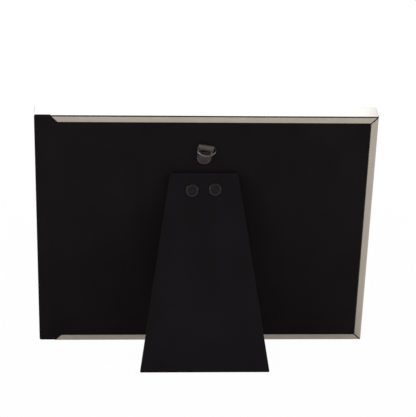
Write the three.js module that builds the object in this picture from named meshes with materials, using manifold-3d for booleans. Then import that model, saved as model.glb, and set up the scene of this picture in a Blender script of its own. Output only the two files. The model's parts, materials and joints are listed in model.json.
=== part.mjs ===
// Landscape picture frame that stands on an easel leg. Mitred metal rails hold the glass and the
// print, a velvet-covered panel slides into the back from one end, and the panel carries the leg
// on a small hinge and a hanging ring on a swivelling strap.
// Millimetres. In the assembly X runs along the frame, Y towards its back and Z up.
import * as THREE from 'three';
import { mergeVertices } from 'three/addons/utils/BufferGeometryUtils.js';
import Module from 'manifold-3d';

const wasm = await Module();
wasm.setup();

const { degToRad } = THREE.MathUtils;
const { sin, cos, asin, sqrt, PI } = Math;

// Print size, the border round it, and how the frame stands
const PRINT_LENGTH = 177.8;
const PRINT_HEIGHT = 127;
const BORDER = 19.05;
const SIGHT_LAP = 3;
const LEAN = degToRad(17);
const LEG_OPENING = degToRad(34);

// Clearances: at rest between pieces that press together, and where pieces run on each other
const SEAT_GAP = 0.3;
const SLIDE_GAP = 0.4;
const SIDE_GAP = 0.3;
const BORE_GAP = 0.1;
const MITRE_GAP = 0.2;
const PRINT_FIT = 0.5;
const STOP_GAP = 0.3;
const RING_REST_GAP = 0.15;

// Rail walls and lips
const WALL = 1.4;
const FACE = 1.4;
const LIP = 1.2;
const LIP_WIDTH = 4.5;
const LEDGE = 1;
const LEDGE_WIDTH = 5.5;
const RIB = 1.2;
const RIB_GRIP = 2;
const HOOK = 0.8;
const HOOK_REACH = 1.6;
const BACK_ROUND = 1.2;
const FRONT_ROUND = 1;
const SIGHT_BEVEL = 0.7;

// Picture stack
const GLASS = 2;
const CARD = 0.3;
const FILLER = 6.5;

// Corner keys and their set screws
const KEY = 2.4;
const KEY_WIDTH = 9;
const KEY_LENGTH = 28;
const KEY_SCREW_FROM_CORNER = 20;
const SCREW_RADIUS = 1.5;
const SCREW_PROUD = 0.6;
const SCREW_SLOT = 0.5;
const SCREW_SLOT_DEPTH = 0.7;

// Sliding back panel
const BOARD = 2.5;
const VELVET_SINK = 0.3;
const TAB_WIDTH = 9.8;
const TAB_INSET = 0.4;
const TAB_CORNER = 1.2;
const WRAP = 0.8;

// Easel leg
const LEG_OFF_CENTRE = 1.2;
const LEG_TOP_WIDTH = 43.2;
const LEG_FOOT_WIDTH = 81.3;
const LEG_THICKNESS = 3.6;
const LEG_VELVET = 0.8;
const LEG_LINING = 0.3;

// Easel hinge
const PIN_RADIUS = 0.7;
const KNUCKLE_RADIUS = 1.3;
const MIDDLE_KNUCKLE = 16;
const LEAF = 0.6;
const LEAF_WIDTH = 35;
const LEAF_HEIGHT = 12;
const LEAF_RIVET_FROM_END = 4.5;
const LEAF_RIVET_DROP = 7;
const LEG_RIVET_SPACING = 14.6;
const LEG_RIVET_DROP = 6.1;
const LEG_RIVET_SKEW = 0.7;
const LEG_RIVETS_OFF_CENTRE = 0.45;

// Hanger
const HANGER_DROP = 27.8;
const HANGER_OFF_CENTRE = 1.4;
const HANGER_TURN = degToRad(9.7);
const HINGE_BELOW_HANGER = 17.1;
const STRAP = 0.5;
const STRAP_WIDTH = 9.8;
const STRAP_REACH = 7.5;
const STRAP_SHOULDER = 3.6;
const STRAP_END_RADIUS = 4.4;
const STRAP_END_START = degToRad(24);
const RING_RADIUS = 5.9;
const WIRE_RADIUS = 0.5;

// Rivets: shank and head sizes, and the clinched end inside
const CLINCH = 0.4;
const CLINCH_LIP = 0.8;
const HEAD_EDGE = 0.2;
const HANGER_RIVET = { shank: 1.5, head: 4.65, plate: 0.45, rim: 0.25, rimWidth: 0.8 };
const LEG_RIVET = { shank: 1.4, head: 4.17, plate: 0.5, rim: 0.4, rimWidth: 0.8 };
const LEAF_RIVET = { shank: 1, head: 2.2, plate: 0.45, rim: 0, rimWidth: 0 };

// Facets of round pieces
const ROUND_SIDES = 32;
const SMALL_SIDES = 16;
const EDGE_STEPS = 6;
const RING_STEPS = 24;
const WIRE_SIDES = 10;

// Spare length on cutting shapes, so that they pass right through
const CUT_OVER = 1;
const WELD = 1e-4;

// Sizes that follow from the ones above
const LENGTH = PRINT_LENGTH + 2 * BORDER;
const HEIGHT = PRINT_HEIGHT + 2 * BORDER;
const END = LENGTH / 2;
const FACE_WIDTH = BORDER + SIGHT_LAP;

// Levels through the frame, from the back plane of the lips at 0 to the front face
const BOARD_TOP = -LIP - SLIDE_GAP;
const BOARD_UNDER = BOARD_TOP - BOARD;
const LEDGE_TOP = BOARD_UNDER - SEAT_GAP;
const FILLER_TOP = BOARD_UNDER - SEAT_GAP;
const FILLER_UNDER = FILLER_TOP - FILLER;
const CARD_TOP = FILLER_UNDER - SEAT_GAP;
const GLASS_TOP = CARD_TOP - CARD - SEAT_GAP;
const FACE_INSIDE = GLASS_TOP - GLASS - SEAT_GAP;
const FRONT = FACE_INSIDE - FACE;
const KEY_UNDER = FACE_INSIDE + SEAT_GAP;
const KEY_TOP = KEY_UNDER + KEY;
const VELVET_TOP = -VELVET_SINK;
const VELVET_UNDER = BOARD_TOP + SEAT_GAP;

// Hinge axis, and the leg's faces measured outwards from it
const HANGER_HEIGHT = HEIGHT - HANGER_DROP;
const AXIS_HEIGHT = HANGER_HEIGHT - HINGE_BELOW_HANGER;
const AXIS_RISE = KNUCKLE_RADIUS + SEAT_GAP;
const AXIS_LEVEL = VELVET_TOP + AXIS_RISE;
const LEG_INSIDE = KNUCKLE_RADIUS + SEAT_GAP;
const LEG_OUTSIDE = LEG_INSIDE + LEG_THICKNESS;

// The leg's top edge stands above the axis until it meets the panel at full opening
const LEG_OVERHANG = (AXIS_RISE + LEG_INSIDE * cos(LEG_OPENING) - STOP_GAP) / sin(LEG_OPENING);

// The frame stands on its rounded back edge, so the leg has this much height to reach the floor
const LEG_TILT = LEG_OPENING - LEAN;
const EDGE_DROP = BACK_ROUND * (1 - cos(LEAN) - sin(LEAN));
const AXIS_ABOVE_FLOOR = AXIS_HEIGHT * cos(LEAN) - AXIS_LEVEL * sin(LEAN) + EDGE_DROP;

// Hanger levels, and the angle at which the ring lies on the rivet's rim
const STRAP_UNDER = VELVET_TOP + SEAT_GAP;
const STRAP_TOP = STRAP_UNDER + 2 * STRAP;
const LOOP_BORE = WIRE_RADIUS + BORE_GAP;
const LOOP_RADIUS = LOOP_BORE + STRAP;
const LOOP_LEVEL = STRAP_UNDER + LOOP_RADIUS;
const HANGER_HEAD_UNDER = STRAP_TOP + SEAT_GAP;
const HANGER_HEAD_TOP = HANGER_HEAD_UNDER + HANGER_RIVET.plate + HANGER_RIVET.rim;
const RIM_CROSSING = (RING_RADIUS ** 2 + STRAP_REACH ** 2 - HANGER_RIVET.head ** 2) / (2 * STRAP_REACH);
const RING_LIFT = asin((HANGER_HEAD_TOP + RING_REST_GAP + WIRE_RADIUS - LOOP_LEVEL) / RIM_CROSSING);

// Finishes
const finish = (color, roughness, metalness = 0) => ({ color, roughness, metalness });
const NICKEL = finish(0xb3a899, 0.25, 1);
const STEEL = finish(0x8f8b88, 0.35, 1);
const HANGER_METAL = finish(0x5c5754, 0.4, 1);
const BLACK_METAL = finish(0x1a1819, 0.45, 0.6);
const ZINC = finish(0xa3a6a8, 0.5, 1);
const VELVET = finish(0x131112, 0.95);
const BOARD_GREY = finish(0x6d675f, 0.9);
const BLACK_PAPER = finish(0x201e1f, 0.9);
const CARD_WHITE = finish(0xe9e6df, 0.85);
const CLEAR_GLASS = finish(0xdfe8e4, 0.05);

// Welds a geometry's corners together and drops the triangles that close up to a line.
function weld(geometry) {
  const bare = geometry.clone();
  bare.deleteAttribute('normal');
  bare.deleteAttribute('uv');
  const welded = mergeVertices(bare, WELD);
  const kept = [];
  const corners = welded.index.array;
  for (let i = 0; i < corners.length; i += 3) {
    const [a, b, c] = corners.slice(i, i + 3);
    if (a !== b && b !== c && c !== a) kept.push(a, b, c);
  }
  welded.setIndex(kept);
  return welded;
}

function toSolid(geometry) {
  const welded = weld(geometry);
  return new wasm.Manifold(new wasm.Mesh({
    numProp: 3,
    vertProperties: new Float32Array(welded.attributes.position.array),
    triVerts: new Uint32Array(welded.index.array),
  }));
}

function fromSolid(solid) {
  const mesh = solid.getMesh();
  const geometry = new THREE.BufferGeometry();
  geometry.setAttribute('position', new THREE.BufferAttribute(mesh.vertProperties, 3));
  geometry.setIndex(new THREE.BufferAttribute(mesh.triVerts, 1));
  geometry.computeVertexNormals();
  return geometry;
}

function join(first, ...others) {
  return fromSolid(others.reduce((solid, other) => solid.add(toSolid(other)), toSolid(first)));
}

function cut(first, ...tools) {
  return fromSolid(tools.reduce((solid, tool) => solid.subtract(toSolid(tool)), toSolid(first)));
}

// A plate with the outline in X and Z, between two levels of Y.
function plate(outline, low, high) {
  const shape = outline instanceof THREE.Shape
    ? outline
    : new THREE.Shape(outline.map(([x, z]) => new THREE.Vector2(x, z)));
  const geometry = new THREE.ExtrudeGeometry(shape, {
    depth: high - low,
    bevelEnabled: false,
    curveSegments: EDGE_STEPS,
  });
  return geometry.rotateX(PI / 2).translate(0, high, 0);
}

function rectangle(x0, z0, x1, z1) {
  return [[x0, z0], [x1, z0], [x1, z1], [x0, z1]];
}

// A round bar across the frame, from one level of Y to another.
function peg(radius, low, high, x = 0, z = 0, sides = SMALL_SIDES) {
  const geometry = new THREE.CylinderGeometry(radius, radius, high - low, sides);
  return geometry.translate(x, (low + high) / 2, z);
}

// A round bar along X between two ends.
function rod(radius, start, end, sides = SMALL_SIDES) {
  const geometry = new THREE.CylinderGeometry(radius, radius, end - start, sides);
  return geometry.rotateZ(PI / 2).translate((start + end) / 2, 0, 0);
}

// Points of a quarter round from one angle to another, as [across, level].
function quarter(across, level, radius, from, to) {
  return Array.from({ length: EDGE_STEPS + 1 }, (_, i) => {
    const angle = from + (to - from) * i / EDGE_STEPS;
    return [across + radius * cos(angle), level + radius * sin(angle)];
  });
}

// A rivet along Y: clinched end, shank, and a head with or without a raised rim.
function rivet({ shank, head, plate: headPlate, rim, rimWidth }, clinchUnder, headUnder) {
  const flat = headUnder + headPlate;
  const profile = [
    [0, clinchUnder],
    [shank + CLINCH_LIP, clinchUnder],
    [shank + CLINCH_LIP, clinchUnder + CLINCH],
    [shank, clinchUnder + CLINCH],
    [shank, headUnder],
    [head, headUnder],
    [head, flat + rim - HEAD_EDGE],
    [head - HEAD_EDGE, flat + rim],
  ];
  if (rim > 0) {
    profile.push([head - rimWidth, flat + rim]);
    profile.push([head - rimWidth - rim, flat]);
  }
  profile.push([0, flat]);
  return new THREE.LatheGeometry(profile.map(([r, y]) => new THREE.Vector2(r, y)), ROUND_SIDES);
}

// Rail section from the outer wall inwards, anticlockwise, without and with the back lip.
function railSection(hasLip) {
  const printRib = BORDER - PRINT_FIT;
  const ribTop = FILLER_UNDER + RIB_GRIP;
  const keyRib = WALL + SEAT_GAP + KEY_WIDTH + SEAT_GAP;
  const hookUnder = KEY_TOP + SEAT_GAP;
  const ledgeUnder = LEDGE_TOP - LEDGE;
  const front = [
    ...quarter(FRONT_ROUND, FRONT + FRONT_ROUND, FRONT_ROUND, PI, 1.5 * PI),
    [FACE_WIDTH - SIGHT_BEVEL, FRONT],
    [FACE_WIDTH, FRONT + SIGHT_BEVEL],
    [FACE_WIDTH, FACE_INSIDE],
  ];
  const inside = [
    [printRib, FACE_INSIDE],
    [printRib, ribTop],
    [printRib - RIB, ribTop],
    [printRib - RIB, FACE_INSIDE],
    [keyRib + RIB, FACE_INSIDE],
    [keyRib + RIB, KEY_TOP],
    [keyRib, KEY_TOP],
    [keyRib, FACE_INSIDE],
    [WALL, FACE_INSIDE],
    [WALL, hookUnder],
    [WALL + HOOK_REACH, hookUnder],
    [WALL + HOOK_REACH, hookUnder + HOOK],
    [WALL, hookUnder + HOOK],
    [WALL, ledgeUnder],
    [LEDGE_WIDTH, ledgeUnder],
    [LEDGE_WIDTH, LEDGE_TOP],
  ];
  const lip = [
    [WALL, LEDGE_TOP],
    [WALL, -LIP],
    [LIP_WIDTH, -LIP],
    [LIP_WIDTH, 0],
    ...quarter(BACK_ROUND, -BACK_ROUND, BACK_ROUND, PI / 2, PI),
  ];
  return [...front, ...inside, ...(hasLip ? lip : [[0, LEDGE_TOP]])];
}

// A rail of the given outer length with both ends mitred, lying along the bottom edge.
function rail(outerLength, hasLip) {
  const section = new THREE.Shape(railSection(hasLip).map(([w, y]) => new THREE.Vector2(w, y)));
  const geometry = new THREE.ExtrudeGeometry(section, { depth: 1, bevelEnabled: false });
  geometry.translate(0, 0, -1 / 2);
  const position = geometry.attributes.position;
  const half = outerLength / 2 - MITRE_GAP / 2 * sqrt(2);
  for (let i = 0; i < position.count; i += 1) {
    const across = position.getX(i);
    const side = position.getZ(i) > 0 ? -1 : 1;
    position.setXYZ(i, side * (half - across), position.getY(i), across);
  }
  return geometry;
}

// Outline of the tool that shortens a lip for the panel's tab, at the bottom edge.
function tabCut() {
  const start = END - TAB_WIDTH - SIDE_GAP * sqrt(2);
  const reach = LIP_WIDTH + CUT_OVER;
  const beyond = END + CUT_OVER;
  return [[start + CUT_OVER, -CUT_OVER], [beyond, -CUT_OVER], [beyond, reach], [start - reach, reach]];
}

function bottomRail() {
  return cut(rail(LENGTH, true), plate(tabCut(), BOARD_TOP, CUT_OVER));
}

function topRail() {
  const upsideDown = rail(LENGTH, true).rotateY(PI).translate(0, 0, HEIGHT);
  const outline = tabCut().map(([x, z]) => [x, HEIGHT - z]).reverse();
  return cut(upsideDown, plate(outline, BOARD_TOP, CUT_OVER));
}

function endRail(side, hasLip) {
  return rail(HEIGHT, hasLip).rotateY(-side * PI / 2).translate(side * END, 0, HEIGHT / 2);
}

// The frame's corners in X and Z, each with its direction inwards.
const CORNERS = [[-END, 0, 1, 1], [END, 0, -1, 1], [END, HEIGHT, -1, -1], [-END, HEIGHT, 1, -1]];

function cornerPoint([x, z, inX, inZ], alongX, alongZ) {
  return [x + inX * alongX, z + inZ * alongZ];
}

function keyScrewPlaces(corner) {
  const middle = WALL + SEAT_GAP + KEY_WIDTH / 2;
  return [
    cornerPoint(corner, KEY_SCREW_FROM_CORNER, middle),
    cornerPoint(corner, middle, KEY_SCREW_FROM_CORNER),
  ];
}

function cornerKey(corner) {
  const edge = WALL + SEAT_GAP;
  const inner = edge + KEY_WIDTH;
  const tip = edge + KEY_LENGTH;
  const outline = [[edge, edge], [tip, edge], [tip, inner], [inner, inner], [inner, tip], [edge, tip]];
  const placed = outline.map(([a, b]) => cornerPoint(corner, a, b));
  const key = plate(placed, KEY_UNDER, KEY_TOP);
  const holes = keyScrewPlaces(corner).map(([x, z]) => (
    peg(SCREW_RADIUS + SEAT_GAP, KEY_UNDER - CUT_OVER, KEY_TOP + CUT_OVER, x, z)
  ));
  return cut(key, ...holes);
}

function setScrew([x, z]) {
  const top = KEY_TOP + SCREW_PROUD;
  const half = SCREW_RADIUS + CUT_OVER;
  const slot = rectangle(x - half, z - SCREW_SLOT / 2, x + half, z + SCREW_SLOT / 2);
  return cut(peg(SCREW_RADIUS, KEY_UNDER, top, x, z), plate(slot, top - SCREW_SLOT_DEPTH, top + CUT_OVER));
}

function stackSheet(low, high) {
  return plate(rectangle(-PRINT_LENGTH / 2, BORDER, PRINT_LENGTH / 2, HEIGHT - BORDER), low, high);
}

// Places of the rivets that pass through the panel, with their sizes.
const LEAF_RIVET_OFFSET = LEAF_WIDTH / 2 - LEAF_RIVET_FROM_END;
const LEAF_RIVET_PLACES = [-1, 1].map((side) => (
  [LEG_OFF_CENTRE + side * LEAF_RIVET_OFFSET, AXIS_HEIGHT - LEAF_RIVET_DROP]
));
const PANEL_RIVETS = [
  [HANGER_OFF_CENTRE, HANGER_HEIGHT, HANGER_RIVET],
  ...LEAF_RIVET_PLACES.map(([x, z]) => [x, z, LEAF_RIVET]),
];
const PANEL_CLINCH = BOARD_UNDER + SEAT_GAP;

function panelBoard() {
  const edge = WALL + SIDE_GAP;
  const outline = rectangle(-END + edge, edge, END - WRAP - SEAT_GAP, HEIGHT - edge);
  const below = BOARD_UNDER - CUT_OVER;
  const sunk = PANEL_CLINCH + CLINCH + SEAT_GAP;
  const holes = PANEL_RIVETS.flatMap(([x, z, { shank }]) => [
    peg(shank + SEAT_GAP, below, BOARD_TOP + CUT_OVER, x, z),
    peg(shank + CLINCH_LIP + SEAT_GAP, below, sunk, x, z, ROUND_SIDES),
  ]);
  return cut(plate(outline, BOARD_UNDER, BOARD_TOP), ...holes);
}

// T-shaped velvet face: it fills the space between the lips, widens into the tab at the open end
// along 45 degree edges, and turns down over the board's end. The tab stays inside the rails'
// outer faces, so that the metal edge carries the frame.
function panelVelvet() {
  const edge = LIP_WIDTH + SIDE_GAP;
  const neck = END - TAB_WIDTH;
  const low = TAB_INSET;
  const high = HEIGHT - TAB_INSET;
  const face = new THREE.Shape();
  face.moveTo(-END + edge, edge);
  face.lineTo(neck - edge, edge);
  face.lineTo(neck - TAB_INSET, low);
  face.lineTo(END - TAB_CORNER, low);
  face.absarc(END - TAB_CORNER, low + TAB_CORNER, TAB_CORNER, -PI / 2, 0, false);
  face.lineTo(END, high - TAB_CORNER);
  face.absarc(END - TAB_CORNER, high - TAB_CORNER, TAB_CORNER, 0, PI / 2, false);
  face.lineTo(neck - TAB_INSET, high);
  face.lineTo(neck - edge, HEIGHT - edge);
  face.lineTo(-END + edge, HEIGHT - edge);
  const turnedDown = rectangle(END - WRAP, WALL + SIDE_GAP, END, HEIGHT - WALL - SIDE_GAP);
  const velvet = join(plate(face, VELVET_UNDER, VELVET_TOP), plate(turnedDown, BOARD_UNDER, VELVET_TOP));
  const holes = PANEL_RIVETS.map(([x, z, { shank }]) => (
    peg(shank + SEAT_GAP, VELVET_UNDER - CUT_OVER, VELVET_TOP + CUT_OVER, x, z)
  ));
  return cut(velvet, ...holes);
}

// Spans in X of the knuckles on each leaf of the hinge.
const MIDDLE_SPANS = [[-MIDDLE_KNUCKLE / 2, MIDDLE_KNUCKLE / 2]];
const OUTER_SPANS = [
  [-LEAF_WIDTH / 2, -MIDDLE_KNUCKLE / 2 - SIDE_GAP],
  [MIDDLE_KNUCKLE / 2 + SIDE_GAP, LEAF_WIDTH / 2],
];

// A hinge leaf hanging from the axis at the origin, its plate between two levels of Y.
function hingeLeaf(low, high, spans, rivetPlaces, rivetShank) {
  const plateTop = -KNUCKLE_RADIUS - SEAT_GAP;
  const half = LEAF_WIDTH / 2;
  const leafPlate = plate(rectangle(-half, -LEAF_HEIGHT, half, plateTop), low, high);
  const tongues = spans.map(([x0, x1]) => plate(rectangle(x0, plateTop - CUT_OVER, x1, 0), low, high));
  const knuckles = spans.map(([x0, x1]) => rod(KNUCKLE_RADIUS, x0, x1));
  const bore = rod(PIN_RADIUS + BORE_GAP, -half - CUT_OVER, half + CUT_OVER);
  const holes = rivetPlaces.map(([x, z]) => (
    peg(rivetShank + SEAT_GAP, low - CUT_OVER, high + CUT_OVER, x, z)
  ));
  return cut(join(leafPlate, ...tongues, ...knuckles), bore, ...holes);
}

function hingeBackLeaf() {
  const places = [-1, 1].map((side) => [side * LEAF_RIVET_OFFSET, -LEAF_RIVET_DROP]);
  return hingeLeaf(-KNUCKLE_RADIUS, -KNUCKLE_RADIUS + LEAF, OUTER_SPANS, places, LEAF_RIVET.shank);
}

// The leg's two rivets are set by eye: a little off the middle, and one higher than the other.
const LEG_RIVET_PLACES = [-1, 1].map((side) => [
  LEG_RIVETS_OFF_CENTRE + side * LEG_RIVET_SPACING / 2,
  -LEG_RIVET_DROP - side * LEG_RIVET_SKEW / 2,
]);

function hingeLegLeaf() {
  return hingeLeaf(KNUCKLE_RADIUS - LEAF, KNUCKLE_RADIUS, MIDDLE_SPANS, LEG_RIVET_PLACES, LEG_RIVET.shank);
}

// Height along the leg at which a face reaches the floor, or a level just above it.
function legFoot(level, aboveFloor = 0) {
  return -(AXIS_ABOVE_FLOOR - aboveFloor + level * sin(LEG_TILT)) / cos(LEG_TILT);
}

// Four corners of the leg's outline at a level, set in from its edges.
function legOutline(level, inset) {
  const top = LEG_OVERHANG - inset;
  const foot = legFoot(level, inset);
  const fullFoot = legFoot(LEG_OUTSIDE);
  const flare = (LEG_FOOT_WIDTH - LEG_TOP_WIDTH) / 2 / (LEG_OVERHANG - fullFoot);
  const half = (z) => LEG_TOP_WIDTH / 2 + (LEG_OVERHANG - z) * flare - inset;
  return [[-half(foot), foot], [half(foot), foot], [half(top), top], [-half(top), top]];
}

// A slab of the leg between two levels, with its foot cut parallel to the floor.
function legSlab(low, high, inset) {
  const corners = [low, high].flatMap((y) => legOutline(y, inset).map(([x, z]) => [x, y, z]));
  const geometry = new THREE.BufferGeometry();
  geometry.setAttribute('position', new THREE.Float32BufferAttribute(corners.flat(), 3));
  geometry.setIndex([
    0, 1, 2, 0, 2, 3, 4, 6, 5, 4, 7, 6,
    0, 5, 1, 0, 4, 5, 1, 6, 2, 1, 5, 6,
    2, 7, 3, 2, 6, 7, 3, 4, 0, 3, 7, 4,
  ]);
  return geometry;
}

function legHoles() {
  return LEG_RIVET_PLACES.map(([x, z]) => peg(LEG_RIVET.shank + SEAT_GAP, 0, LEG_OUTSIDE + CUT_OVER, x, z));
}

function legVelvet() {
  const cavity = legSlab(LEG_INSIDE - CUT_OVER, LEG_OUTSIDE - LEG_VELVET, LEG_VELVET);
  return cut(legSlab(LEG_INSIDE, LEG_OUTSIDE, 0), cavity, ...legHoles());
}

function legCore() {
  const low = LEG_INSIDE + LEG_LINING + SEAT_GAP;
  const high = LEG_OUTSIDE - LEG_VELVET - SEAT_GAP;
  return cut(legSlab(low, high, LEG_VELVET + SEAT_GAP), ...legHoles());
}

function legLining() {
  return cut(legSlab(LEG_INSIDE, LEG_INSIDE + LEG_LINING, LEG_VELVET + SEAT_GAP), ...legHoles());
}

function legRivet() {
  return rivet(LEG_RIVET, KNUCKLE_RADIUS - LEAF - SEAT_GAP - CLINCH, LEG_OUTSIDE + SEAT_GAP);
}

// Strap folded over the ring's bar: a doubled plate with a round end under the rivet's head.
function hangerStrap() {
  const half = STRAP_WIDTH / 2;
  const outline = new THREE.Shape();
  outline.moveTo(half, STRAP_REACH);
  outline.lineTo(-half, STRAP_REACH);
  outline.lineTo(-half, STRAP_SHOULDER);
  outline.absarc(0, 0, STRAP_END_RADIUS, PI - STRAP_END_START, 2 * PI + STRAP_END_START, false);
  outline.lineTo(half, STRAP_SHOULDER);
  const fold = rod(LOOP_RADIUS, -half, half, ROUND_SIDES).translate(0, LOOP_LEVEL, STRAP_REACH);
  const bore = rod(LOOP_BORE, -half - CUT_OVER, half + CUT_OVER).translate(0, LOOP_LEVEL, STRAP_REACH);
  const hole = peg(HANGER_RIVET.shank + SEAT_GAP, STRAP_UNDER - CUT_OVER, STRAP_TOP + CUT_OVER);
  return cut(join(plate(outline, STRAP_UNDER, STRAP_TOP), fold), bore, hole);
}

// Half circle of wire below the X axis, from one end of the ring's bar to the other.
class HalfRing extends THREE.Curve {
  getPoint(t, target = new THREE.Vector3()) {
    const angle = PI * (1 + t);
    return target.set(RING_RADIUS * cos(angle), 0, RING_RADIUS * sin(angle));
  }
}

function hangerRing() {
  const section = new THREE.Shape().absarc(0, 0, WIRE_RADIUS, 0, 2 * PI, false);
  const bow = new THREE.ExtrudeGeometry(section, {
    steps: RING_STEPS,
    curveSegments: WIRE_SIDES / 2,
    extrudePath: new HalfRing(),
  });
  const bar = rod(WIRE_RADIUS, -RING_RADIUS, RING_RADIUS, WIRE_SIDES);
  const bends = [-RING_RADIUS, RING_RADIUS].map((x) => (
    new THREE.SphereGeometry(WIRE_RADIUS, WIRE_SIDES, WIRE_SIDES / 2).translate(x, 0, 0)
  ));
  return join(bow, bar, ...bends);
}

function piece(name, geometry, look) {
  const mesh = new THREE.Mesh(geometry, new THREE.MeshStandardMaterial(look));
  mesh.name = name;
  return mesh;
}

function buildFrame() {
  const frame = new THREE.Group();
  frame.add(piece('top_rail', topRail(), NICKEL));
  frame.add(piece('bottom_rail', bottomRail(), NICKEL));
  frame.add(piece('closed_end_rail', endRail(-1, true), NICKEL));
  frame.add(piece('open_end_rail', endRail(1, false), NICKEL));
  CORNERS.forEach((corner, i) => frame.add(piece(`corner_key_${i + 1}`, cornerKey(corner), ZINC)));
  CORNERS.flatMap(keyScrewPlaces).forEach((place, i) => {
    frame.add(piece(`set_screw_${i + 1}`, setScrew(place), STEEL));
  });
  frame.add(piece('glass', stackSheet(GLASS_TOP - GLASS, GLASS_TOP), CLEAR_GLASS));
  frame.add(piece('insert_card', stackSheet(CARD_TOP - CARD, CARD_TOP), CARD_WHITE));
  frame.add(piece('filler_board', stackSheet(FILLER_UNDER, FILLER_TOP), BOARD_GREY));
  return frame;
}

function buildPanel() {
  const panel = new THREE.Group();
  panel.add(piece('panel_board', panelBoard(), BOARD_GREY));
  panel.add(piece('panel_velvet', panelVelvet(), VELVET));
  const backLeaf = piece('hinge_back_leaf', hingeBackLeaf(), BLACK_METAL);
  const pin = piece('hinge_pin', rod(PIN_RADIUS, -LEAF_WIDTH / 2, LEAF_WIDTH / 2), STEEL);
  for (const part of [backLeaf, pin]) {
    part.position.set(LEG_OFF_CENTRE, AXIS_LEVEL, AXIS_HEIGHT);
    panel.add(part);
  }
  const leafRivetHead = AXIS_LEVEL - KNUCKLE_RADIUS + LEAF + SEAT_GAP;
  LEAF_RIVET_PLACES.forEach(([x, z], i) => {
    const leafRivet = piece(`leaf_rivet_${i + 1}`, rivet(LEAF_RIVET, PANEL_CLINCH, leafRivetHead), STEEL);
    leafRivet.position.set(x, 0, z);
    panel.add(leafRivet);
  });
  const hangerHead = rivet(HANGER_RIVET, PANEL_CLINCH, HANGER_HEAD_UNDER);
  const hangerRivet = piece('hanger_rivet', hangerHead, HANGER_METAL);
  hangerRivet.position.set(HANGER_OFF_CENTRE, 0, HANGER_HEIGHT);
  panel.add(hangerRivet);
  return panel;
}

function buildLeg() {
  const leg = new THREE.Group();
  leg.name = 'leg_axis';
  leg.position.set(LEG_OFF_CENTRE, AXIS_LEVEL, AXIS_HEIGHT);
  leg.rotation.x = LEG_OPENING;
  leg.add(piece('leg_core', legCore(), BOARD_GREY));
  leg.add(piece('leg_velvet', legVelvet(), VELVET));
  leg.add(piece('leg_lining', legLining(), BLACK_PAPER));
  leg.add(piece('hinge_leg_leaf', hingeLegLeaf(), BLACK_METAL));
  LEG_RIVET_PLACES.forEach(([x, z], i) => {
    const legRivetPiece = piece(`leg_rivet_${i + 1}`, legRivet(), BLACK_METAL);
    legRivetPiece.position.set(x, 0, z);
    leg.add(legRivetPiece);
  });
  return leg;
}

function buildHanger() {
  const hanger = new THREE.Group();
  hanger.name = 'hanger_axis';
  hanger.position.set(HANGER_OFF_CENTRE, 0, HANGER_HEIGHT);
  hanger.rotation.y = -HANGER_TURN;
  hanger.add(piece('hanger_strap', hangerStrap(), HANGER_METAL));
  const ring = new THREE.Group();
  ring.name = 'ring_axis';
  ring.position.set(0, LOOP_LEVEL, STRAP_REACH);
  ring.rotation.x = RING_LIFT;
  ring.add(piece('hanger_ring', hangerRing(), STEEL));
  hanger.add(ring);
  return hanger;
}

// The frame leans back on the leg; the whole then stands on Z = 0, centred in X and Y.
function buildPictureFrame() {
  const leaning = new THREE.Group();
  leaning.add(buildFrame(), buildPanel(), buildLeg(), buildHanger());
  leaning.rotation.x = -LEAN;
  const standing = new THREE.Group();
  standing.add(leaning);
  standing.updateMatrixWorld(true);
  const box = new THREE.Box3().setFromObject(standing, true);
  const centre = box.getCenter(new THREE.Vector3());
  leaning.position.set(-centre.x, -centre.y, -box.min.z);
  standing.updateMatrixWorld(true);
  return standing;
}

export default buildPictureFrame();
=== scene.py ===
import json
import math

import bmesh
import bpy
from mathutils import Matrix, Vector


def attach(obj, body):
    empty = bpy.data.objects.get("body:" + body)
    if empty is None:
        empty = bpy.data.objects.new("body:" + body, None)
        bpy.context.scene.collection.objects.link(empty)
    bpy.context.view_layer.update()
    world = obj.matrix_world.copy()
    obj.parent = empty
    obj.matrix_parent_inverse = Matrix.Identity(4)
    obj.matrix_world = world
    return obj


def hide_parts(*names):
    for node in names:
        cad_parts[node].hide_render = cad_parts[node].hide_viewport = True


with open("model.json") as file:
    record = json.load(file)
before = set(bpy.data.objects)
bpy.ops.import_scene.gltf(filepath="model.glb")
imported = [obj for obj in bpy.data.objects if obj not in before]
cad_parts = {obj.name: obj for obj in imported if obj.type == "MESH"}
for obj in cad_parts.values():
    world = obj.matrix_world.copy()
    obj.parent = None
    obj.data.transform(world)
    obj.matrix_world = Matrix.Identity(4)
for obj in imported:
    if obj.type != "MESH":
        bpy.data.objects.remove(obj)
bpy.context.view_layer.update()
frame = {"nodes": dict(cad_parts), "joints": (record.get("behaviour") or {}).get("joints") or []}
nodes = frame["nodes"]
joints = {joint["name"]: joint for joint in frame["joints"]}
scene = bpy.context.scene

# Sizes in millimetres. X runs along the frame, Y from the lips' back plane towards the back, Z up.
MM = 0.001
PRINT_LENGTH = 177.8
PRINT_HEIGHT = 127.0
BORDER = 19.05
SIGHT_LAP = 3.0
LENGTH = PRINT_LENGTH + 2 * BORDER
HEIGHT = PRINT_HEIGHT + 2 * BORDER
END = LENGTH / 2
FACE_WIDTH = BORDER + SIGHT_LAP
LEAN = math.radians(17)

# How close counts as the same level, the same direction, one corner and on a cut
NEAR = 0.01
FLAT = 0.01
MERGE = 1e-3
CUT = 1e-4

# Edges of sheet metal that turn by more than this are eased
EASED_ANGLE = math.radians(50)

# Clearances between pieces that press together, run on each other or lie side by side
SEAT_GAP = 0.3
SLIDE_GAP = 0.4
SIDE_GAP = 0.3
PRINT_FIT = 0.5
STOP_GAP = 0.3

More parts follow.
